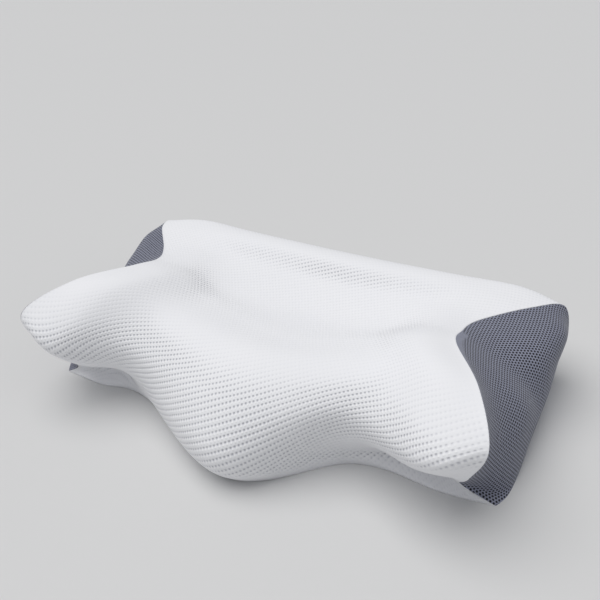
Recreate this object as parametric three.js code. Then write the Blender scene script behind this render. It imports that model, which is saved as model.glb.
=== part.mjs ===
import * as THREE from 'three';
import { LoftGeometry } from 'three/addons/geometries/LoftGeometry.js';
import { mergeGeometries, mergeVertices } from 'three/addons/utils/BufferGeometryUtils.js';

// Butterfly-shaped cervical pillow: one filled body in white knit, with a grey mesh panel let into each end.
// Millimetres. X runs from end to end, -Y is the neck side, +Z is up, and the flat base lies on Z = 0.

const PANEL_THICKNESS = 2;
const PIECE_GAP = 0.3;
const RECESS_DEPTH = PANEL_THICKNESS + PIECE_GAP;
const PANEL_INSET = 0.6;
const WELD_DISTANCE = 0.001;

// Where the notch line and the wing line run, as shares of the way from the middle to the end seam.
const NOTCH_SHARE = 0.5;
const WING_SHARE = 0.8;
// The middle of the neck roll lies a little to the right of the middle of the pillow.
const MIDDLE_X = 10;

// One row for each line of the cover that runs from end to end, from the front foot over the top to the
// back foot. Centre, notch and wing give Y and Z; the end seam gives X, Y and Z. Slip is how much further
// out the seam of the left end lies, and lean is how far to the left both notches are pushed.
const COVER_LINES = [
  {
    name: 'front foot', centre: [-182, 0], notch: [-104, 0], wing: [-106, 0],
    seam: [277, -101, 0], slip: -5, lean: 15,
  },
  {
    name: 'front tuck', centre: [-203, 26], notch: [-120, 24], wing: [-88, 23],
    seam: [240, -108, 21], slip: 8, lean: 15,
  },
  {
    name: 'front bulge', centre: [-198, 57], notch: [-131, 63], wing: [-150, 62],
    seam: [253, -142, 63], slip: 2, lean: 13,
  },
  {
    name: 'front shoulder', centre: [-163, 92], notch: [-122, 96], wing: [-169, 100],
    seam: [269, -155, 116], slip: 5, lean: 6,
  },
  {
    name: 'neck crest', centre: [-106, 111], notch: [-79, 114], wing: [-97, 137],
    seam: [242, -96, 138], slip: 1, lean: 0,
  },
  {
    name: 'hollow front', centre: [-48, 101], notch: [-19, 104], wing: [-26, 130],
    seam: [200, -18, 129], slip: 11, lean: 0,
  },
  {
    name: 'hollow', centre: [28, 86], notch: [35, 92], wing: [39, 108],
    seam: [194, 36, 111], slip: 22, lean: 0,
  },
  {
    name: 'hollow back', centre: [96, 93], notch: [98, 96], wing: [98, 101],
    seam: [203, 82, 101], slip: 36, lean: 0,
  },
  {
    name: 'back crest', centre: [141, 109], notch: [146, 109], wing: [145, 106],
    seam: [253, 135, 102], slip: 24, lean: 0,
  },
  {
    name: 'back shoulder', centre: [185, 95], notch: [187, 95], wing: [187, 98],
    seam: [288, 172, 93], slip: 2, lean: 0,
  },
  {
    name: 'back bulge', centre: [203, 60], notch: [197, 58], wing: [192, 58],
    seam: [299, 164, 59], slip: 0, lean: 0,
  },
  {
    name: 'back tuck', centre: [192, 24], notch: [188, 23], wing: [181, 23],
    seam: [294, 157, 16], slip: 0, lean: 0,
  },
  {
    name: 'back foot', centre: [180, 0], notch: [177, 0], wing: [170, 0],
    seam: [291, 145, 0], slip: 0, lean: 0,
  },
];

// One row for each cover line that ends at the top edge of the panel: below its seam point, the middle of
// the sloping end face, the rounded rim that stands out above the base, and X and Y of the foot.
const END_STATIONS = [
  { name: 'front shoulder', face: [269, -123, 62], rim: [297, -98, 14], foot: [293, -95] },
  { name: 'neck crest', face: [275, -81, 67], rim: [300, -74, 10], foot: [292, -68] },
  { name: 'hollow front', face: [275, -28, 82], rim: [296, -16, 40], foot: [291, -7] },
  { name: 'hollow', face: [263, 22, 86], rim: [294, 21, 45], foot: [289, 28] },
  { name: 'hollow back', face: [276, 68, 95], rim: [297, 63, 58], foot: [291, 70] },
  { name: 'back crest', face: [295, 121, 99], rim: [299, 113, 69], foot: [291, 110] },
  { name: 'back shoulder', face: [295, 167, 92], rim: [300, 166, 68], foot: [291, 140] },
];

// The cover lines at which the end panel turns from its front edge to its top edge and to its back edge.
const PANEL_FRONT_LINE = 3;
const PANEL_BACK_LINE = 9;
// How fast the panel takes up the run of its short edges (a higher value keeps it nearer the edge).
const EDGE_BLEND = 6;

// Steps along each part of the mesh.
const STEPS_PER_COLUMN = 10;
const STEPS_PER_LINE = 8;
const STEPS_DOWN_END = 12;

const WHITE_KNIT = new THREE.MeshStandardMaterial({ color: '#e9eaef', roughness: 0.85, metalness: 0 });
const GREY_MESH = new THREE.MeshStandardMaterial({ color: '#6e7484', roughness: 0.8, metalness: 0 });

function smoothCurve(points) {
  return new THREE.CatmullRomCurve3(points, false, 'catmullrom', 0.5);
}

function steps(count) {
  return Array.from({ length: count + 1 }, (_, i) => i / count);
}

function onBase(point) {
  point.z = Math.max(point.z, 0);
  return point;
}

// The seam point of a cover line; side is 1 for the right end and -1 for the left end.
function seamPoint(line, side) {
  const [x, y, z] = line.seam;
  return new THREE.Vector3(side * (x + (side < 0 ? line.slip : 0)), y, z);
}

function lineCurve(line) {
  const halfLine = (side) => {
    const seam = seamPoint(line, side);
    const inner = (share, [y, z], lean) => new THREE.Vector3(seam.x * share - lean, y, z);
    return [seam, inner(WING_SHARE, line.wing, 0), inner(NOTCH_SHARE, line.notch, line.lean)];
  };
  const middle = new THREE.Vector3(MIDDLE_X, ...line.centre);
  return smoothCurve([...halfLine(-1), middle, ...halfLine(1).reverse()]);
}

// Rows of the mesh as positions along the list of cover lines: the front and back edges of the panel have
// as many steps as the panel has from top to bottom.
function coverRows() {
  const last = COVER_LINES.length - 1;
  const topLines = PANEL_BACK_LINE - PANEL_FRONT_LINE;
  const front = steps(STEPS_DOWN_END).map((t) => t * PANEL_FRONT_LINE);
  const top = steps(topLines * STEPS_PER_LINE).map((t) => PANEL_FRONT_LINE + t * topLines);
  const back = steps(STEPS_DOWN_END).map((t) => PANEL_BACK_LINE + t * (last - PANEL_BACK_LINE));
  return [...front, ...top.slice(1), ...back.slice(1)];
}

// The cover as rows of points, each row from the left seam to the right seam.
function coverGrid() {
  const curves = COVER_LINES.map(lineCurve);
  const across = steps(STEPS_PER_COLUMN * (curves[0].points.length - 1));
  const columns = across.map((t) => smoothCurve(curves.map((curve) => curve.getPoint(t))));
  const last = COVER_LINES.length - 1;
  return coverRows().map((row) => columns.map((column) => onBase(column.getPoint(row / last))));
}

// The end face between its seams: down is 0 at the top seam and 1 at the base, along is 0 at the front
// corner and 1 at the back corner.
function endFace(side) {
  const seam = smoothCurve(COVER_LINES.map((line) => seamPoint(line, side)));
  const last = COVER_LINES.length - 1;
  const seamAt = (line) => onBase(seam.getPoint(line / last));
  const place = ([x, y, z]) => new THREE.Vector3(side * x, y, z);
  const face = smoothCurve(END_STATIONS.map((station) => place(station.face)));
  const rim = smoothCurve(END_STATIONS.map((station) => place(station.rim)));
  const foot = smoothCurve(END_STATIONS.map((station) => place([...station.foot, 0])));
  const profile = (along) => smoothCurve([
    seamAt(PANEL_FRONT_LINE + along * (PANEL_BACK_LINE - PANEL_FRONT_LINE)),
    face.getPoint(along),
    rim.getPoint(along),
    foot.getPoint(along),
  ]);
  const frontProfile = profile(0);
  const backProfile = profile(1);
  return (along, down) => {
    const frontShift = seamAt(PANEL_FRONT_LINE * (1 - down)).sub(frontProfile.getPoint(down));
    const backLine = PANEL_BACK_LINE + down * (last - PANEL_BACK_LINE);
    const backShift = seamAt(backLine).sub(backProfile.getPoint(down));
    const point = profile(along).getPoint(down);
    point.addScaledVector(frontShift, (1 - along) ** EDGE_BLEND);
    point.addScaledVector(backShift, along ** EDGE_BLEND);
    return onBase(point);
  };
}

// Outward direction of an end face, level along the base so that the pieces stand flat on it.
function endNormal(surface, side, along, down) {
  const reach = 0.01;
  const alongSpan = [Math.max(along - reach, 0), Math.min(along + reach, 1)];
  const downSpan = [Math.max(down - reach, 0), Math.min(down + reach, 1)];
  const alongTangent = surface(alongSpan[1], down).sub(surface(alongSpan[0], down));
  const downTangent = surface(along, downSpan[1]).sub(surface(along, downSpan[0]));
  const normal = downTangent.cross(alongTangent).multiplyScalar(side);
  if (down === 1) normal.z = 0;
  return normal.normalize();
}

// Outward directions of the cover along its end seam, one for each row of the mesh.
function coverEdgeNormals(cover, side) {
  const edge = cover.map((row) => (side > 0 ? row[row.length - 1] : row[0]));
  const inner = cover.map((row) => (side > 0 ? row[row.length - 2] : row[1]));
  return edge.map((point, i) => {
    const before = edge[Math.max(i - 1, 0)];
    const after = edge[Math.min(i + 1, edge.length - 1)];
    const across = point.clone().sub(inner[i]).multiplyScalar(side);
    return across.cross(after.clone().sub(before)).normalize();
  });
}

// Points of an end face set back by a depth; inset draws the edges at the seam in along the face. There
// the set-back follows the line halfway between the end face and the cover, so it stays inside the body.
function endGrid(cover, side, depth, inset) {
  const surface = endFace(side);
  const stations = steps(STEPS_PER_LINE * (PANEL_BACK_LINE - PANEL_FRONT_LINE));
  const levels = steps(STEPS_DOWN_END);
  const [lastStation, lastLevel] = [stations.length - 1, levels.length - 1];
  const coverNormals = coverEdgeNormals(cover, side);
  const seamNormal = (i, j) => {
    if (j === 0) return coverNormals[lastLevel + i];
    if (i === 0) return coverNormals[lastLevel - j];
    return i === lastStation ? coverNormals[lastLevel + lastStation + j] : null;
  };
  const gapTo = (from, to) => surface(...from).distanceTo(surface(...to));
  return stations.map((along, i) => levels.map((down, j) => {
    const normal = endNormal(surface, side, along, down);
    const beside = seamNormal(i, j);
    const halfway = normal.clone();
    if (beside) halfway.add(beside);
    if (j === lastLevel) halfway.z = 0;
    halfway.normalize();
    const lean = halfway.dot(normal);
    const nextAlong = stations[i === 0 ? 1 : lastStation - 1];
    const nextDown = levels[1];
    let [a, d] = [along, down];
    if (i === 0 || i === lastStation) {
      a += (nextAlong - along) * inset / lean / gapTo([along, down], [nextAlong, down]);
    }
    if (j === 0) d += nextDown * inset / lean / gapTo([along, down], [along, nextDown]);
    return onBase(surface(a, d).addScaledVector(halfway, -depth / lean));
  }));
}

// A skin over a grid of points; turned over, it keeps the same triangles and faces the other way.
function patch(grid, turnedOver, closed = false) {
  const skin = new LoftGeometry(grid, { closed });
  if (turnedOver) skin.setIndex([...skin.index.array].reverse());
  return skin;
}

// The edge of an end grid from the foot of its front edge, over the top, to the foot of its back edge.
function upperEdge(grid) {
  const front = [...grid[0]].reverse();
  const top = grid.slice(1, -1).map((column) => column[0]);
  const back = grid[grid.length - 1];
  return [...front, ...top, ...back];
}

function footEdge(grid) {
  return grid.map((column) => column[column.length - 1]);
}

function weld(geometries) {
  const bare = geometries.map((geometry) => {
    const copy = geometry.index ? geometry.toNonIndexed() : geometry.clone();
    copy.deleteAttribute('uv');
    copy.deleteAttribute('normal');
    return copy;
  });
  const solid = mergeVertices(mergeGeometries(bare), WELD_DISTANCE);
  solid.computeVertexNormals();
  return solid;
}

// The flat base: triangles from its middle out to the foot outline, facing down.
function basePlate(outline) {
  const middle = new THREE.Vector3();
  outline.forEach((point) => middle.addScaledVector(point, 1 / outline.length));
  const corners = outline.flatMap((point, i) => [middle, outline[(i + 1) % outline.length], point]);
  return new THREE.BufferGeometry().setFromPoints(corners);
}

// One filled body: the cover, a shallow recess for the panel in each end, and the flat base.
function pillowBody() {
  const cover = coverGrid();
  const pieces = [patch(cover, false)];
  const recess = new Map();
  for (const side of [-1, 1]) {
    const seat = endGrid(cover, side, RECESS_DEPTH, 0);
    const lip = endGrid(cover, side, 0, 0);
    pieces.push(patch(seat, side < 0));
    pieces.push(patch([upperEdge(lip), upperEdge(seat)], side > 0));
    recess.set(side, footEdge(seat));
  }
  const frontFoot = cover[0];
  const backFoot = [...cover[cover.length - 1]].reverse();
  const outline = [...frontFoot, ...recess.get(1), ...backFoot, ...recess.get(-1).reverse()];
  pieces.push(basePlate(outline));
  return weld(pieces);
}

// A mesh panel: a thin sheet that follows the end face and fills the recess but for the gap round it.
function endPanel(side) {
  const cover = coverGrid();
  const outer = endGrid(cover, side, 0, PANEL_INSET);
  const inner = endGrid(cover, side, PANEL_THICKNESS, PANEL_INSET);
  const ring = (grid) => [...upperEdge(grid), ...footEdge(grid).slice(1, -1).reverse()];
  const edge = patch([ring(outer), ring(inner)], side < 0, true);
  return weld([patch(outer, side < 0), patch(inner, side > 0), edge]);
}

function named(name, geometry, material) {
  const mesh = new THREE.Mesh(geometry, material.clone());
  mesh.name = name;
  return mesh;
}

const pillow = new THREE.Group();
pillow.name = 'cervical_pillow';
pillow.add(named('pillow_body', pillowBody(), WHITE_KNIT));
pillow.add(named('mesh_panel_left', endPanel(-1), GREY_MESH));
pillow.add(named('mesh_panel_right', endPanel(1), GREY_MESH));

export default pillow;
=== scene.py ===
"""Looks of the cervical pillow: its knit cover, its mesh end panels, the floor, the light and the camera."""

import math
from collections import namedtuple

import bmesh
import bpy
import numpy as np
from bpy.props import FloatProperty, FloatVectorProperty, PointerProperty
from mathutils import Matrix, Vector


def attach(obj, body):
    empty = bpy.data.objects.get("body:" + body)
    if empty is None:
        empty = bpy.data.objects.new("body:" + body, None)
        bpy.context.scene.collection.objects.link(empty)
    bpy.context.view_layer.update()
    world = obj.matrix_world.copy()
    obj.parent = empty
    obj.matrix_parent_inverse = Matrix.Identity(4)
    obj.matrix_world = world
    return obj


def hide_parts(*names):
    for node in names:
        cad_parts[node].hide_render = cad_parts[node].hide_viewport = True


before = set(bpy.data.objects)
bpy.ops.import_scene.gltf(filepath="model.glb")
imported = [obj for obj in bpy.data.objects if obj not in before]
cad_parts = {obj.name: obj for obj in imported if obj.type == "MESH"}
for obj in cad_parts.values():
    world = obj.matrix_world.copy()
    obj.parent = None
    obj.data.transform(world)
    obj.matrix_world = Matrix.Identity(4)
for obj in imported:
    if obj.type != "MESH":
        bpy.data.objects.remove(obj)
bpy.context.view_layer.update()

bl_info = {
    "name": "Cervical Pillow",
    "version": (1, 0, 0),
    "blender": (4, 5, 0),
    "location": "View3D > Sidebar > Pillow",
    "description": "Makes a butterfly-shaped neck pillow in white knit with grey mesh end panels",
    "category": "Object",
}

MM = 0.001

# One row for each line of the cover that runs from end to end, from the front foot over the top to the back
# foot, in millimetres. Centre, notch and wing give Y and Z; the end seam gives X, Y and Z. Slip is how much
# further out the seam of the left end lies, and lean is how far to the left both notches are pushed.
CoverLine = namedtuple("CoverLine", "name centre notch wing seam slip lean")
COVER_LINES = (
    CoverLine("front foot", (-182, 0), (-104, 0), (-106, 0), (277, -101, 0), -5, 15),
    CoverLine("front tuck", (-203, 26), (-120, 24), (-88, 23), (240, -108, 21), 8, 15),
    CoverLine("front bulge", (-198, 57), (-131, 63), (-150, 62), (253, -142, 63), 2, 13),
    CoverLine("front shoulder", (-163, 92), (-122, 96), (-169, 100), (269, -155, 116), 5, 6),
    CoverLine("neck crest", (-106, 111), (-79, 114), (-97, 137), (242, -96, 138), 1, 0),
    CoverLine("hollow front", (-48, 101), (-19, 104), (-26, 130), (200, -18, 129), 11, 0),
    CoverLine("hollow", (28, 86), (35, 92), (39, 108), (194, 36, 111), 22, 0),
    CoverLine("hollow back", (96, 93), (98, 96), (98, 101), (203, 82, 101), 36, 0),
    CoverLine("back crest", (141, 109), (146, 109), (145, 106), (253, 135, 102), 24, 0),
    CoverLine("back shoulder", (185, 95), (187, 95), (187, 98), (288, 172, 93), 2, 0),
    CoverLine("back bulge", (203, 60), (197, 58), (192, 58), (299, 164, 59), 0, 0),
    CoverLine("back tuck", (192, 24), (188, 23), (181, 23), (294, 157, 16), 0, 0),
    CoverLine("back foot", (180, 0), (177, 0), (170, 0), (291, 145, 0), 0, 0),
)

# One row for each cover line that ends at the top edge of the panel: below its seam point, the middle of the
# sloping end face, the rounded rim that stands out above the base, and the foot.
EndStation = namedtuple("EndStation", "name face rim foot")
END_STATIONS = (
    EndStation("front shoulder", (269, -123, 62), (297, -98, 14), (293, -95, 0)),
    EndStation("neck crest", (275, -81, 67), (300, -74, 10), (292, -68, 0)),
    EndStation("hollow front", (275, -28, 82), (296, -16, 40), (291, -7, 0)),
    EndStation("hollow", (263, 22, 86), (294, 21, 45), (289, 28, 0)),
    EndStation("hollow back", (276, 68, 95), (297, 63, 58), (291, 70, 0)),
    EndStation("back crest", (295, 121, 99), (299, 113, 69), (291, 110, 0)),
    EndStation("back shoulder", (295, 167, 92), (300, 166, 68), (291, 140, 0)),
)

# Where the notch line and the wing line run, as shares of the way from the middle to the end seam.
NOTCH_SHARE = 0.5
WING_SHARE = 0.8
# How far the centre line of the cover lies to the right of the middle of the pillow, in millimetres.
MIDDLE_X = 10

LAST_COLUMN = 6
LAST_LINE = len(COVER_LINES) - 1
# The cover lines at which the end panel turns from its front edge to its top edge and to its back edge.
PANEL_FRONT_LINE = 3
PANEL_BACK_LINE = 9
PANEL_LINES = PANEL_BACK_LINE - PANEL_FRONT_LINE
# The front and back edges of a panel are moved onto the seam. A higher power keeps the move nearer to them.
EDGE_BLEND = 6

SIDES = {"left": -1, "right": 1}

# Steps of the meshes: across a column of the cover, along the top of a panel, and down its front and
# back edges.
COLUMN_STEPS = 30
TOP_STEPS = 96
END_STEPS = 40
# Steps of a mesh panel along and down the end face.
PANEL_STEPS = (300, 130)
# Steps of the rounded turn at which the cover dips into the seam.
TURN_STEPS = 4
# Vertices closer together than this are merged, in metres.
MERGE_DISTANCE = 1e-6
# Points of the coarse grids that the flat cuts are worked out on.
COVER_CUT_GRID = (31, 49)
PANEL_CUT_GRID = (13, 25)
# Rounds in which such a grid is relaxed, and how many times the mean pull each round moves a point.
FLATTENING_ROUNDS = 2500
FLATTENING_SPEED = 1.6
# How readily the cloth stretches to stay free of folds when it is laid flat.
FABRIC_GIVE = 0.03

# The ribbed strip along the wing seam fades out between these shares of the panel's length. The ribbed rim
# starts at this share of its height at the back corner, and lower down towards the front corner.
STRIP_END = (0.46, 0.5)
RIM_START = 0.5
RIM_RISE = 0.55
# How softly the strip (metres to each side) and the rim (share of the height) pass into the open mesh.
STRIP_EDGE = 0.0004
RIM_EDGE = 0.04
# How far in from its edge the mesh starts to dip under the cover.
TUCK_REACH = 0.0035

# How strongly the pits of the knit show, as shares: one share below the low value, another above the high
# value, and a smooth change in between. Slope is the upward part of the surface's direction. Heights and
# distances are in metres. The fades by slope, underside and height near the top are painted light: strong
# light washes the pits out on up-facing tops and shade hides them underneath, so their painted shade and
# highlight give way there.
PitFade = namedtuple("PitFade", "low high below above")
PITS_WASHED_OUT_BY_TOP_LIGHT = PitFade(0.88, 0.985, 1.0, 0.2)
PITS_HIDDEN_IN_UNDERSIDE_SHADE = PitFade(-0.5, -0.1, 0.1, 1.0)
PITS_WASHED_OUT_ON_HIGH_TOPS = PitFade(0.1, 0.122, 1.0, 0.25)
PITS_FADE_NEAR_BASE = PitFade(0.006, 0.02, 0.2, 1.0)
OPEN_UNEVENLY = PitFade(0.3, 0.7, 0.75, 1.0)
OPEN_NEAR_SEAM = PitFade(0.003, 0.008, 0.0, 1.0)

# How sharply pits, loops and grooves stand out along a row and across it, and where each loop lies beside
# its pit, as shares of the distance between two pits.
PIT_SHARPNESS = (1.6, 3.5)
LOOP_SHARPNESS = (1.5, 3.0)
LOOP_PLACE = (0.4, -0.35)
LOOP_HEIGHT = 0.6
GROOVE_SHARPNESS = 2.0
GROOVE_DEPTH = 0.3

# The edge of a hole is soft between these shares of its radius.
HOLE_EDGE = (0.8, 1.15)
# How high the ribs stand as a share of a hole's depth, and how much of the holes' dark lies between them
# as painted shade in the valleys.
RIB_HEIGHT = 0.4
RIB_SHADE = 0.3

# The stitches draw the cover into puckers that fade out between these distances from the seam.
PUCKER_FADE = (0.001, 0.006)
PUCKER_HEIGHT = 0.8
# Heights of the relief are shares of this depth, in metres.
RELIEF_DEPTH = 0.001

# Scales of the noise that varies the colour of the knit and of the mesh, and the openness of the pits.
KNIT_MOTTLE = 9
MESH_MOTTLE = 120
OPENNESS_MOTTLE = 14

FLOOR_SIZE = 12.0
CAMERA_PLACE = (0.338181, -0.700068, 0.583244)
CAMERA_AZIMUTH = math.radians(25.218)
CAMERA_ELEVATION = math.radians(30.752)
CAMERA_LENS = 46.18
SENSOR_WIDTH = 36

WORLD_COLOUR = (0.95, 0.97, 1.0)
WORLD_STRENGTH = 0.42
# Angles in degrees: azimuth 0 is light from the neck side and 90 from the right end, height is the angle
# above the floor, and spread is how wide the light looks.
Sun = namedtuple("Sun", "name azimuth height spread strength colour")
SUNS = (
    Sun("key", -70, 72, 60, 1.85, (1.0, 0.99, 0.98)),
)


def length_property(name, description, value):
    return FloatProperty(name=name, description=description, default=value, unit="LENGTH")


def colour_property(name, description, value):
    return FloatVectorProperty(
        name=name, description=description, subtype="COLOR", size=3, min=0, max=1, default=value
    )


class PillowSizes(bpy.types.PropertyGroup):
    """Sizes of the sewn details"""

    edge_radius: length_property("Edge radius", "Radius at which the cover turns into the seam", 0.0009)
    recess: length_property("Recess", "Depth of the cover's turned-in edge under the mesh panel", 0.0023)
    knit_rows: length_property("Knit rows", "Distance between two rows of pits in the knit", 0.0062)
    knit_columns: length_property("Knit columns", "Distance between two pits in a row of the knit", 0.0043)
    knit_turn: FloatProperty(
        name="Knit turn",
        description="How far the rows of the knit rise from the pillow's length",
        default=math.radians(28),
        subtype="ANGLE",
    )
    mesh_pitch: length_property("Mesh pitch", "Distance between two holes of the mesh", 0.004)
    mesh_hole: length_property("Mesh hole", "Radius of a hole of the mesh", 0.00135)
    mesh_tuck: length_property("Mesh tuck", "How far the edge of the mesh dips under the cover", 0.0007)
    strip_width: length_property("Strip width", "Width of the ribbed strip along the wing seam", 0.0095)
    stitch_pitch: length_property("Stitch pitch", "Distance between two stitches of the end seams", 0.0045)
    rib_pitch: length_property("Rib pitch", "Distance between two ribs of the mesh", 0.0034)


class PillowColours(bpy.types.PropertyGroup):
    """Colours of the cloth and of the floor"""

    knit: colour_property("Knit", "White of the knit cover", (0.865, 0.865, 0.885))
    knit_shade: colour_property("Knit shade", "Greyer white in places on the knit", (0.835, 0.84, 0.87))
    # Painted highlight: the raised loops are painted brighter as if light caught them.
    knit_loop_highlight: colour_property("Knit loops", "Brighter white of the raised loops", (0.95, 0.95, 0.96))
    # Painted shade: the pits are darkened as if shade lay down in them.
    knit_pit_shade: colour_property("Knit pits", "Colour down in the pits of the knit", (0.52, 0.53, 0.58))
    mesh_yarn: colour_property("Mesh yarn", "Blue-grey of the mesh yarn", (0.3, 0.315, 0.405))
    mesh_shade: colour_property("Mesh shade", "Darker blue-grey in places on the mesh", (0.225, 0.237, 0.315))
    # Painted shade: the holes are painted dark for the shade inside the pillow seen through them.
    mesh_hole: colour_property("Mesh holes", "Dark of the holes in the mesh", (0.012, 0.013, 0.02))
    floor: colour_property("Floor", "Pale grey of the floor", (0.655, 0.655, 0.655))


# Shape of the pillow


def spline(points, at):
    """Places on the smooth curve through the first axis of the points; at counts from 0 in whole points."""
    at = np.asarray(at, float)
    first = np.clip(np.floor(at).astype(int), 0, len(points) - 2)
    share = (at - first).reshape((-1,) + (1,) * (points.ndim - 1))
    ends = np.concatenate([[2 * points[0] - points[1]], points, [2 * points[-1] - points[-2]]])
    a, b, c, d = (ends[first + k] for k in range(4))
    cubic = -a + 3 * b - 3 * c + d
    square = 2 * a - 5 * b + 4 * c - d
    return 0.5 * (2 * b + (c - a) * share + square * share**2 + cubic * share**3)


def on_base(points):
    points[..., 2] = np.maximum(points[..., 2], 0)
    return points


def cover_net():
    """The table as a net of points: a row for each cover line, columns from the left seam to the right."""
    net = []
    for line in COVER_LINES:
        x, y, z = line.seam
        left = -(x + line.slip)
        net.append(
            [
                (left, y, z),
                (left * WING_SHARE, *line.wing),
                (left * NOTCH_SHARE - line.lean, *line.notch),
                (MIDDLE_X, *line.centre),
                (x * NOTCH_SHARE - line.lean, *line.notch),
                (x * WING_SHARE, *line.wing),
                (x, y, z),
            ]
        )
    return np.array(net, float) * MM


def cover_points(across, lines):
    """Points of the cover: across is 0 at the left seam and 6 at the right, lines is 0 at the front foot."""
    columns = spline(np.swapaxes(cover_net(), 0, 1), across)
    return on_base(spline(np.swapaxes(columns, 0, 1), lines))


def seam_points(side, lines):
    column = LAST_COLUMN if side > 0 else 0
    return on_base(spline(cover_net()[:, column], np.atleast_1d(lines)))


def end_points(side, along, down):
    """Points of an end face: along is 0 at its front corner and 1 at the back, down is 0 at the top seam."""
    mirror = np.array([side, 1, 1]) * MM
    levels = [seam_points(side, PANEL_FRONT_LINE + along * PANEL_LINES)]
    for level in ("face", "rim", "foot"):
        stations = np.array([getattr(station, level) for station in END_STATIONS], float)
        levels.append(spline(stations * mirror, along * PANEL_LINES))
    points = spline(np.stack(levels), down * (len(levels) - 1))
    front = seam_points(side, PANEL_FRONT_LINE * (1 - down)) - points[:, 0]
    back = seam_points(side, PANEL_BACK_LINE + down * (LAST_LINE - PANEL_BACK_LINE)) - points[:, -1]
    points = points + front[:, None] * ((1 - along) ** EDGE_BLEND)[None, :, None]
    points = points + back[:, None] * (along**EDGE_BLEND)[None, :, None]
    return on_base(points)


def unit(vectors):
    return vectors / np.maximum(np.linalg.norm(vectors, axis=-1, keepdims=True), 1e-12)


def grid_normals(points):
    """Directions square to a grid of points, outwards where columns run to the right and rows go up."""
    return unit(np.cross(np.gradient(points, axis=1), np.gradient(points, axis=0)))


def flattened(points):
    """The flat cut of a sheet: its grid of points laid out in the plane with little stretch and no folds."""
    steps = [(0, 1), (1, 0), (1, 1), (1, -1)]
    rows, columns, _ = points.shape

    def ends(grid, down, right):
        low = grid[: rows - down, max(0, -right) : columns - max(0, right)]
        high = grid[down:, max(0, right) : columns - max(0, -right)]
        return low, high

    lengths = [np.linalg.norm(np.subtract(*ends(points, *step)), axis=-1) for step in steps]
    across, along = lengths[:2]
    flat = np.zeros((rows, columns, 2))
    flat[:, 1:, 0] = np.cumsum(across, axis=1)
    flat[..., 0] -= flat[:, columns // 2 : columns // 2 + 1, 0]
    flat[1:, :, 1] = np.cumsum(along, axis=0)
    flat[..., 1] -= flat[rows // 2 : rows // 2 + 1, :, 1]
    counts = np.zeros((rows, columns, 1))
    for step in steps:
        for part in ends(counts, *step):
            part += 1
    across_share = (across[:, 1:] / (across[:, 1:] + across[:, :-1]))[..., None]
    along_share = (along[1:] / (along[1:] + along[:-1]))[..., None]
    for _ in range(FLATTENING_ROUNDS):
        move = np.zeros_like(flat)
        for step, length in zip(steps, lengths):
            low, high = ends(flat, *step)
            between = high - low
            now = np.linalg.norm(between, axis=-1)
            pull = between * ((now - length) / np.maximum(now, 1e-9) * 0.5)[..., None]
            to_low, to_high = ends(move, *step)
            to_low += pull
            to_high -= pull
        flat += move / counts * FLATTENING_SPEED
        even = np.zeros_like(flat)
        even[1:-1] += flat[:-2] * along_share + flat[2:] * (1 - along_share) - flat[1:-1]
        even[:, 1:-1] += flat[:, :-2] * across_share + flat[:, 2:] * (1 - across_share) - flat[:, 1:-1]
        flat += FABRIC_GIVE * even
    return flat


def fabric_coordinates(points, cut_grid):
    """Flat-cut coordinates of every point of a grid, worked out on a coarse grid and filled in between."""
    rows, columns, _ = points.shape
    row_at = np.linspace(0, rows - 1, cut_grid[0]).round().astype(int)
    column_at = np.linspace(0, columns - 1, cut_grid[1]).round().astype(int)
    flat = flattened(points[np.ix_(row_at, column_at)])
    row_share = np.interp(np.arange(rows), row_at, np.arange(cut_grid[0]))
    column_share = np.interp(np.arange(columns), column_at, np.arange(cut_grid[1]))
    return np.swapaxes(spline(np.swapaxes(spline(flat, row_share), 0, 1), column_share), 0, 1)


def run_lengths(points, axis):
    """Length along one axis of a grid of points, from its first point to each other."""
    lengths = np.linalg.norm(np.diff(points, axis=axis), axis=-1)
    start = np.zeros_like(np.take(lengths, [0], axis=axis))
    return np.concatenate([start, np.cumsum(lengths, axis=axis)], axis=axis)


def fade(values, start, end):
    """0 below the start, 1 past the end, and a smooth rise in between."""
    share = np.clip((values - start) / (end - start), 0, 1)
    return share * share * (3 - 2 * share)


# Meshes


def grid_bmesh(points, turned_over=False):
    """A grid of quads with its vertices on a grid of points."""
    rows, columns, _ = points.shape
    bm = bmesh.new()
    bmesh.ops.create_grid(bm, x_segments=columns - 1, y_segments=rows - 1, size=0.5)
    for vertex, place in zip(bm.verts, points.reshape(-1, 3)):
        vertex.co = place
    if turned_over:
        bmesh.ops.reverse_faces(bm, faces=bm.faces[:])
    return bm


def set_map(bm, name, values):
    """Writes a pair of values for each vertex of a grid into a UV map of the bmesh."""
    layer = bm.loops.layers.uv.new(name)
    pairs = values.reshape(-1, 2)
    for face in bm.faces:
        for loop in face.loops:
            loop[layer].uv = pairs[loop.vert.index]


def joined(parts):
    """One bmesh from several, with the vertices that meet merged."""
    whole = bmesh.new()
    for part in parts:
        scratch = bpy.data.meshes.new("scratch")
        part.to_mesh(scratch)
        part.free()
        whole.from_mesh(scratch)
        bpy.data.meshes.remove(scratch)
    bmesh.ops.remove_doubles(whole, verts=whole.verts[:], dist=MERGE_DISTANCE)
    return whole


def add_piece(name, bm, material):
    mesh = bpy.data.meshes.new(name)
    bm.to_mesh(mesh)
    bm.free()
    mesh.shade_smooth()
    mesh.materials.append(material)
    piece = bpy.data.objects.new(name, mesh)
    bpy.context.scene.collection.objects.link(piece)
    return piece


# Knit cover


def cover_rows():
    front = np.linspace(0, PANEL_FRONT_LINE, END_STEPS + 1)
    top = np.linspace(PANEL_FRONT_LINE, PANEL_BACK_LINE, TOP_STEPS + 1)
    back = np.linspace(PANEL_BACK_LINE, LAST_LINE, END_STEPS + 1)
    return np.concatenate([front, top[1:], back[1:]])


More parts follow.
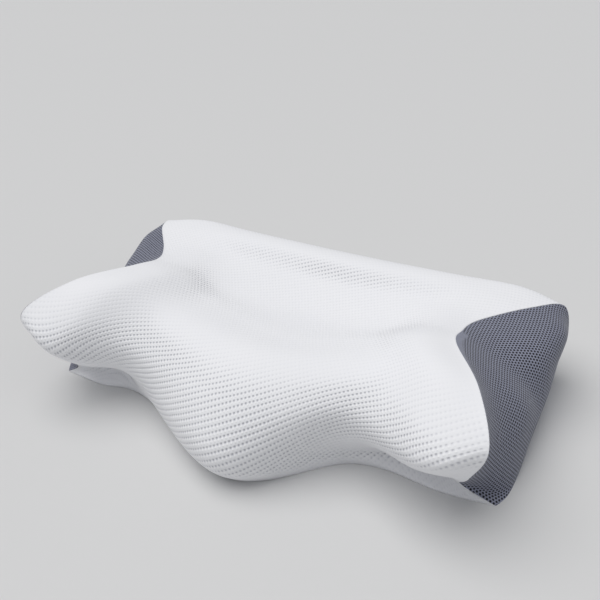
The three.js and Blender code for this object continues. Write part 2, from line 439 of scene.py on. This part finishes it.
def seat_points(side, cover, depth):
    """The end face set back under the panel, with its edges moved along the line halfway to the cover."""
    face = end_points(side, np.linspace(0, 1, TOP_STEPS + 1), np.linspace(0, 1, END_STEPS + 1))
    normals = -side * grid_normals(face)
    normals[-1, :, 2] = 0
    normals = unit(normals)
    cover_normals = grid_normals(cover)
    edge = cover_normals[:, -1] if side > 0 else cover_normals[:, 0]
    halfway = normals.copy()
    halfway[0] += edge[END_STEPS : END_STEPS + TOP_STEPS + 1]
    halfway[1:, 0] += edge[:END_STEPS][::-1]
    halfway[1:, -1] += edge[END_STEPS + TOP_STEPS + 1 :]
    halfway[-1, :, 2] = 0
    halfway = unit(halfway)
    lean = (halfway * normals).sum(-1, keepdims=True)
    return on_base(face - halfway * depth / lean)


def seat_edge(seat):
    """The edge of a seat from the foot of its front edge, over the top, to the foot of its back edge."""
    return np.concatenate([seat[::-1, 0], seat[0, 1:-1], seat[:, -1]])


def rounded_edges(cover, seats, radius):
    """The cover with each end edge turned over a small radius down to the seat."""
    columns = [cover[:, i] for i in range(1, cover.shape[1] - 1)]
    for side in SIDES.values():
        edge, inner = (cover[:, -1], cover[:, -2]) if side > 0 else (cover[:, 0], cover[:, 1])
        off = unit(edge - inner)
        low = seat_edge(seats[side])
        inward = unit(low - edge)
        turn = []
        for angle in np.linspace(0, math.pi / 2, TURN_STEPS + 1):
            back_off = off * radius * (1 - math.sin(angle))
            turn.append(edge - back_off + inward * radius * (1 - math.cos(angle)))
        turn.append(low)
        columns = columns + turn if side > 0 else turn[::-1] + columns
    return on_base(np.stack(columns, axis=1))


def seam_coordinates(skin):
    """For each point of the cover, how far along the left seam its row is and how far off a seam it is."""
    across = run_lengths(skin, axis=1)
    distance = np.minimum(across, across[:, -1:] - across)
    edge = run_lengths(skin[:, :1], axis=0)
    return np.stack([np.broadcast_to(edge, distance.shape), distance], axis=-1)


def base_bmesh(outline):
    """The flat base: a fan from its middle to the foot outline, facing down."""
    bm = bmesh.new()
    middle = bm.verts.new(outline.mean(axis=0))
    rim = [bm.verts.new(place) for place in outline]
    for first, second in zip(rim, rim[1:] + rim[:1]):
        bm.faces.new((middle, second, first))
    return bm


def cover_bmesh(sizes):
    cover = cover_points(np.linspace(0, LAST_COLUMN, LAST_COLUMN * COLUMN_STEPS + 1), cover_rows())
    seats = {side: seat_points(side, cover, sizes.recess) for side in SIDES.values()}
    skin = rounded_edges(cover, seats, sizes.edge_radius)
    top = grid_bmesh(skin)
    set_map(top, "fabric", fabric_coordinates(skin, COVER_CUT_GRID))
    set_map(top, "seam", seam_coordinates(skin))
    backs = [grid_bmesh(seats[side], turned_over=side > 0) for side in SIDES.values()]
    outline = [skin[0], seats[1][-1, 1:], skin[-1, ::-1][1:], seats[-1][-1, ::-1][1:-1]]
    return joined([top, *backs, base_bmesh(np.concatenate(outline))])


# Mesh panels


def sunken_edges(face, side, tuck):
    """The face with its outer edge dipped under the cover on the three sides where it is sewn to it."""
    down = run_lengths(face, axis=0)
    along = run_lengths(face, axis=1)
    distance = np.minimum(down, np.minimum(along, along[:, -1:] - along))
    dip = tuck * (1 - fade(distance, 0, TUCK_REACH))
    normals = -side * grid_normals(face)
    normals[-1, :, 2] = 0
    return on_base(face - normals * dip[..., None])


def rib_coordinates(face, sizes):
    """For each point of a panel, how far along it lies and how far the mesh there is drawn into ribs."""
    down = run_lengths(face, axis=0)
    along = run_lengths(face, axis=1)
    rows, columns = down.shape
    across_share = np.linspace(0, 1, columns)
    down_share = np.linspace(0, 1, rows)[:, None]
    strip = 1 - fade(down, sizes.strip_width - STRIP_EDGE, sizes.strip_width + STRIP_EDGE)
    strip = strip * (1 - fade(across_share, *STRIP_END))
    rim = fade(down_share - RIM_START - RIM_RISE * (1 - across_share), 0, RIM_EDGE)
    return np.stack([along, np.maximum(strip, rim)], axis=-1)


def panel_mesh(side, sizes):
    along_steps, down_steps = PANEL_STEPS
    face = end_points(side, np.linspace(0, 1, along_steps + 1), np.linspace(0, 1, down_steps + 1))
    fabric = fabric_coordinates(face, PANEL_CUT_GRID)
    bm = grid_bmesh(sunken_edges(face, side, sizes.mesh_tuck), turned_over=side > 0)
    set_map(bm, "fabric", fabric)
    set_map(bm, "ribs", rib_coordinates(face, sizes))
    return bm, fabric


# Materials


def math_node(tree, operation, *values):
    made = tree.nodes.new("ShaderNodeMath")
    made.operation = operation
    for socket, value in zip(made.inputs, values):
        if isinstance(value, bpy.types.NodeSocket):
            tree.links.new(value, socket)
        else:
            socket.default_value = value
    return made.outputs[0]


def times(tree, first, second):
    return math_node(tree, "MULTIPLY", first, second)


def smooth_step(tree, value, low, high, to_low=0.0, to_high=1.0):
    made = tree.nodes.new("ShaderNodeMapRange")
    made.interpolation_type = "SMOOTHSTEP"
    tree.links.new(value, made.inputs["Value"])
    for name, limit in (("From Min", low), ("From Max", high), ("To Min", to_low), ("To Max", to_high)):
        if isinstance(limit, bpy.types.NodeSocket):
            tree.links.new(limit, made.inputs[name])
        else:
            made.inputs[name].default_value = limit
    return made.outputs["Result"]


def separate(tree, vector):
    parts = tree.nodes.new("ShaderNodeSeparateXYZ")
    tree.links.new(vector, parts.inputs[0])
    return parts.outputs


def uv_map(tree, name):
    made = tree.nodes.new("ShaderNodeUVMap")
    made.uv_map = name
    return made.outputs[0]


def noise(tree, vector, scale, detail=2.0):
    made = tree.nodes.new("ShaderNodeTexNoise")
    made.inputs["Scale"].default_value = scale
    made.inputs["Detail"].default_value = detail
    tree.links.new(vector, made.inputs["Vector"])
    return made.outputs[0]


def new_group(name, inputs, outputs):
    group = bpy.data.node_groups.new(name, "ShaderNodeTree")
    for socket_name, kind, value in inputs:
        socket = group.interface.new_socket(socket_name, in_out="INPUT", socket_type=kind)
        if value is not None:
            socket.default_value = value
    for socket_name, kind in outputs:
        group.interface.new_socket(socket_name, in_out="OUTPUT", socket_type=kind)
    start = group.nodes.new("NodeGroupInput")
    end = group.nodes.new("NodeGroupOutput")
    return group, start.outputs, end.inputs


def placed_group(tree, group, **links):
    made = tree.nodes.new("ShaderNodeGroup")
    made.node_tree = group
    for name, value in links.items():
        socket = made.inputs[name.replace("_", " ").capitalize()]
        if isinstance(value, bpy.types.NodeSocket):
            tree.links.new(value, socket)
        else:
            socket.default_value = value
    return made.outputs


def wave(tree, phase, sharpness):
    """A mask that is 1 where the phase is a whole number and falls off on both sides."""
    turns = times(tree, phase, 2 * math.pi)
    level = math_node(tree, "MULTIPLY_ADD", math_node(tree, "COSINE", turns), 0.5, 0.5)
    return math_node(tree, "POWER", level, sharpness)


def knit_group():
    """Pits of the knit in flat-cut coordinates, each with a raised loop beside it."""
    group, given, out = new_group(
        "knit_pits",
        [
            ("Cut", "NodeSocketVector", None),
            ("Row distance", "NodeSocketFloat", 0.0062),
            ("Column distance", "NodeSocketFloat", 0.0043),
        ],
        [("Pit", "NodeSocketFloat"), ("Loop", "NodeSocketFloat"), ("Height", "NodeSocketFloat")],
    )
    parts = separate(group, given["Cut"])
    column = math_node(group, "DIVIDE", parts["X"], given["Column distance"])
    row = math_node(group, "DIVIDE", parts["Y"], given["Row distance"])
    pit = times(group, wave(group, column, PIT_SHARPNESS[0]), wave(group, row, PIT_SHARPNESS[1]))
    loop_column = wave(group, math_node(group, "SUBTRACT", column, LOOP_PLACE[0]), LOOP_SHARPNESS[0])
    loop_row = wave(group, math_node(group, "SUBTRACT", row, LOOP_PLACE[1]), LOOP_SHARPNESS[1])
    loop = times(group, loop_column, loop_row)
    groove = wave(group, row, GROOVE_SHARPNESS)
    height = math_node(group, "SUBTRACT", times(group, loop, LOOP_HEIGHT), pit)
    height = math_node(group, "MULTIPLY_ADD", groove, -GROOVE_DEPTH, height)
    group.links.new(pit, out["Pit"])
    group.links.new(loop, out["Loop"])
    group.links.new(height, out["Height"])
    return group


def mesh_group():
    """Round holes of a mesh in staggered rows, in flat-cut coordinates."""
    group, given, out = new_group(
        "mesh_holes",
        [
            ("Cut", "NodeSocketVector", None),
            ("Pitch", "NodeSocketFloat", 0.004),
            ("Hole radius", "NodeSocketFloat", 0.00135),
        ],
        [("Hole", "NodeSocketFloat")],
    )
    parts = separate(group, given["Cut"])
    row_pair = times(group, given["Pitch"], math.sqrt(3))
    distances = []
    for shift in (0.0, 0.5):
        offsets = []
        for name, step in (("X", given["Pitch"]), ("Y", row_pair)):
            place = math_node(group, "ADD", math_node(group, "DIVIDE", parts[name], step), shift)
            centred = math_node(group, "SUBTRACT", math_node(group, "FRACT", place), 0.5)
            offsets.append(math_node(group, "POWER", times(group, centred, step), 2.0))
        distances.append(math_node(group, "SQRT", math_node(group, "ADD", *offsets)))
    distance = math_node(group, "MINIMUM", *distances)
    inner, outer = (times(group, given["Hole radius"], share) for share in HOLE_EDGE)
    group.links.new(smooth_step(group, distance, inner, outer, 1.0, 0.0), out["Hole"])
    return group


def rib_group():
    """Even ribs square to an edge, from the length along it: ribs of the mesh and puckers of the stitches."""
    group, given, out = new_group(
        "mesh_ribs",
        [("Run", "NodeSocketFloat", 0.0), ("Pitch", "NodeSocketFloat", 0.0034)],
        [("Height", "NodeSocketFloat")],
    )
    phase = math_node(group, "DIVIDE", given["Run"], given["Pitch"])
    group.links.new(wave(group, phase, 1.0), out["Height"])
    return group


def turned_cut(tree, turn):
    """The flat-cut coordinates of a piece, turned by an angle."""
    mapping = tree.nodes.new("ShaderNodeMapping")
    mapping.inputs["Rotation"].default_value = (0, 0, turn)
    tree.links.new(uv_map(tree, "fabric"), mapping.inputs[0])
    return mapping.outputs[0]


def new_material(name, roughness, sheen):
    material = bpy.data.materials.new(name)
    material.use_nodes = True
    tree = material.node_tree
    shader = tree.nodes["Principled BSDF"]
    shader.inputs["Roughness"].default_value = roughness
    shader.inputs["Sheen Weight"].default_value = sheen
    shader.inputs["Sheen Roughness"].default_value = 0.5
    shader.inputs["Specular IOR Level"].default_value = 0.25
    return material, tree, shader


def mixed(tree, share, first, second):
    mix = tree.nodes.new("ShaderNodeMix")
    mix.data_type = "RGBA"
    for socket, value in ((mix.inputs[0], share), (mix.inputs[6], first), (mix.inputs[7], second)):
        if isinstance(value, bpy.types.NodeSocket):
            tree.links.new(value, socket)
        elif socket.type == "RGBA":
            socket.default_value = (*value, 1)
        else:
            socket.default_value = value
    return mix.outputs[2]


def add_bump(tree, shader, height):
    bump = tree.nodes.new("ShaderNodeBump")
    bump.inputs["Distance"].default_value = RELIEF_DEPTH
    tree.links.new(height, bump.inputs["Height"])
    tree.links.new(bump.outputs[0], shader.inputs["Normal"])


def pit_contrast_by_light(tree):
    """Pits show fully on flanks, and fade on light-washed tops, in shade underneath and near the base."""
    geometry = tree.nodes.new("ShaderNodeNewGeometry")
    up = separate(tree, geometry.outputs["Normal"])["Z"]
    coordinates = tree.nodes.new("ShaderNodeTexCoord")
    place = coordinates.outputs["Object"]
    height = separate(tree, place)["Z"]
    # Painted light: the pits' painted shade and highlight fade on up-facing and high tops, which strong light
    # washes out, and underneath, where shade hides them.
    slope = smooth_step(tree, up, *PITS_WASHED_OUT_BY_TOP_LIGHT)
    underside = smooth_step(tree, up, *PITS_HIDDEN_IN_UNDERSIDE_SHADE)
    top = smooth_step(tree, height, *PITS_WASHED_OUT_ON_HIGH_TOPS)
    base = smooth_step(tree, height, *PITS_FADE_NEAR_BASE)
    uneven = smooth_step(tree, noise(tree, place, OPENNESS_MOTTLE), *OPEN_UNEVENLY)
    return times(tree, times(tree, times(tree, slope, top), times(tree, underside, base)), uneven)


def knit_material(sizes, colours):
    material, tree, shader = new_material("white_knit", 0.85, 0.25)
    pits = placed_group(
        tree,
        knit_group(),
        cut=turned_cut(tree, -sizes.knit_turn),
        row_distance=sizes.knit_rows,
        column_distance=sizes.knit_columns,
    )
    pit_contrast = pit_contrast_by_light(tree)
    seam = separate(tree, uv_map(tree, "seam"))
    pit_contrast = times(tree, pit_contrast, smooth_step(tree, seam["Y"], *OPEN_NEAR_SEAM))
    mottle = noise(tree, uv_map(tree, "fabric"), KNIT_MOTTLE)
    knit = mixed(tree, mottle, colours.knit, colours.knit_shade)
    # Painted highlight on the raised loops of the knit.
    knit = mixed(tree, times(tree, pits["Loop"], pit_contrast), knit, colours.knit_loop_highlight)
    # Painted shade down in the pits of the knit.
    colour = mixed(tree, times(tree, pits["Pit"], pit_contrast), knit, colours.knit_pit_shade)
    tree.links.new(colour, shader.inputs["Base Color"])
    stitches = placed_group(tree, bpy.data.node_groups["mesh_ribs"], run=seam["X"], pitch=sizes.stitch_pitch)
    puckers = times(tree, stitches["Height"], smooth_step(tree, seam["Y"], *PUCKER_FADE, 1.0, 0.0))
    height = times(tree, pits["Height"], pit_contrast)
    height = math_node(tree, "MULTIPLY_ADD", puckers, PUCKER_HEIGHT, height)
    add_bump(tree, shader, height)
    return material


def mesh_material(sizes, colours):
    material, tree, shader = new_material("grey_mesh", 0.7, 0.2)
    cut = turned_cut(tree, 0.0)
    holes = placed_group(tree, mesh_group(), cut=cut, pitch=sizes.mesh_pitch, hole_radius=sizes.mesh_hole)
    ribs = separate(tree, uv_map(tree, "ribs"))
    drawn = placed_group(tree, bpy.data.node_groups["mesh_ribs"], run=ribs["X"], pitch=sizes.rib_pitch)
    open_share = math_node(tree, "SUBTRACT", 1.0, ribs["Y"])
    # Painted shade in the holes of the mesh, where the inside lies in shade.
    hole = times(tree, holes["Hole"], open_share)
    # Painted shade in the valleys between the ribs of the mesh.
    rib_valley_shade = times(tree, math_node(tree, "SUBTRACT", 1.0, drawn["Height"]), ribs["Y"])
    rib_valley_shade = times(tree, rib_valley_shade, RIB_SHADE)
    yarn = mixed(tree, noise(tree, cut, MESH_MOTTLE), colours.mesh_yarn, colours.mesh_shade)
    colour = mixed(tree, math_node(tree, "MAXIMUM", hole, rib_valley_shade), yarn, colours.mesh_hole)
    tree.links.new(colour, shader.inputs["Base Color"])
    raised = times(tree, times(tree, drawn["Height"], ribs["Y"]), RIB_HEIGHT)
    add_bump(tree, shader, math_node(tree, "SUBTRACT", raised, hole))
    return material


# Stage


def add_floor(scene):
    material, tree, shader = new_material("floor_paint", 0.6, 0.0)
    shader.inputs["Base Color"].default_value = (*scene.pillow_colours.floor, 1)
    bm = bmesh.new()
    bmesh.ops.create_grid(bm, x_segments=1, y_segments=1, size=FLOOR_SIZE / 2)
    floor = add_piece("floor", bm, material)


def add_lights(scene):
    world = bpy.data.worlds.new("studio")
    world.use_nodes = True
    background = world.node_tree.nodes["Background"]
    background.inputs["Color"].default_value = (*WORLD_COLOUR, 1)
    background.inputs["Strength"].default_value = WORLD_STRENGTH
    scene.world = world
    for light in SUNS:
        data = bpy.data.lights.new(light.name, "SUN")
        data.energy = light.strength
        data.angle = math.radians(light.spread)
        data.color = light.colour
        sun = bpy.data.objects.new(light.name, data)
        azimuth, height = math.radians(light.azimuth), math.radians(light.height)
        level = math.cos(height)
        toward = Vector((level * math.sin(azimuth), -level * math.cos(azimuth), math.sin(height)))
        sun.rotation_euler = toward.to_track_quat("Z", "Y").to_euler()
        scene.collection.objects.link(sun)


def add_camera(scene):
    data = bpy.data.cameras.new("camera")
    data.lens = CAMERA_LENS
    data.sensor_width = SENSOR_WIDTH
    camera = bpy.data.objects.new("camera", data)
    camera.location = CAMERA_PLACE
    camera.rotation_euler = (math.pi / 2 - CAMERA_ELEVATION, 0, CAMERA_AZIMUTH)
    scene.collection.objects.link(camera)
    scene.camera = camera


# Operators


class PILLOW_OT_cover(bpy.types.Operator):
    """Makes the filled body in its white knit cover"""

    bl_idname = "pillow.cover"
    bl_label = "Knit Cover"

    def execute(self, context):
        sizes, colours = context.scene.pillow_sizes, context.scene.pillow_colours
        piece = add_piece("pillow_cover", cover_bmesh(sizes), knit_material(sizes, colours))
        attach(piece, "root")
        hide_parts("pillow_body")
        return {"FINISHED"}


class PILLOW_OT_mesh_panels(bpy.types.Operator):
    """Makes the grey mesh panel that is let into each end"""

    bl_idname = "pillow.mesh_panels"
    bl_label = "Mesh Panels"

    def execute(self, context):
        sizes, colours = context.scene.pillow_sizes, context.scene.pillow_colours
        material = mesh_material(sizes, colours)
        for name, side in SIDES.items():
            bm, fabric = panel_mesh(side, sizes)
            piece = add_piece(f"mesh_cloth_{name}", bm, material)
            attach(piece, "root")
            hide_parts(f"mesh_panel_{name}")
        return {"FINISHED"}


class PILLOW_OT_stage(bpy.types.Operator):
    """Makes the floor, the light and the camera"""

    bl_idname = "pillow.stage"
    bl_label = "Stage"

    def execute(self, context):
        add_floor(context.scene)
        add_lights(context.scene)
        add_camera(context.scene)
        context.scene.view_settings.view_transform = "Standard"
        return {"FINISHED"}


class PILLOW_PT_sidebar(bpy.types.Panel):
    """Buttons and sizes of the pillow"""

    bl_idname = "PILLOW_PT_sidebar"
    bl_label = "Cervical Pillow"
    bl_space_type = "VIEW_3D"
    bl_region_type = "UI"
    bl_category = "Pillow"

    def draw(self, context):
        layout = self.layout
        for operator in OPERATORS:
            layout.operator(operator.bl_idname)
        for group in (context.scene.pillow_sizes, context.scene.pillow_colours):
            for name in group.__annotations__:
                layout.prop(group, name)


OPERATORS = (PILLOW_OT_cover, PILLOW_OT_mesh_panels, PILLOW_OT_stage)
CLASSES = (PillowSizes, PillowColours, *OPERATORS, PILLOW_PT_sidebar)


def register():
    for each in CLASSES:
        bpy.utils.register_class(each)
    bpy.types.Scene.pillow_sizes = PointerProperty(type=PillowSizes)
    bpy.types.Scene.pillow_colours = PointerProperty(type=PillowColours)


def unregister():
    del bpy.types.Scene.pillow_colours
    del bpy.types.Scene.pillow_sizes
    for each in reversed(CLASSES):
        bpy.utils.unregister_class(each)


def main():
    register()
    rib_group()
    bpy.ops.pillow.cover()
    bpy.ops.pillow.mesh_panels()
    bpy.ops.pillow.stage()


if __name__ == "__main__":
    main()
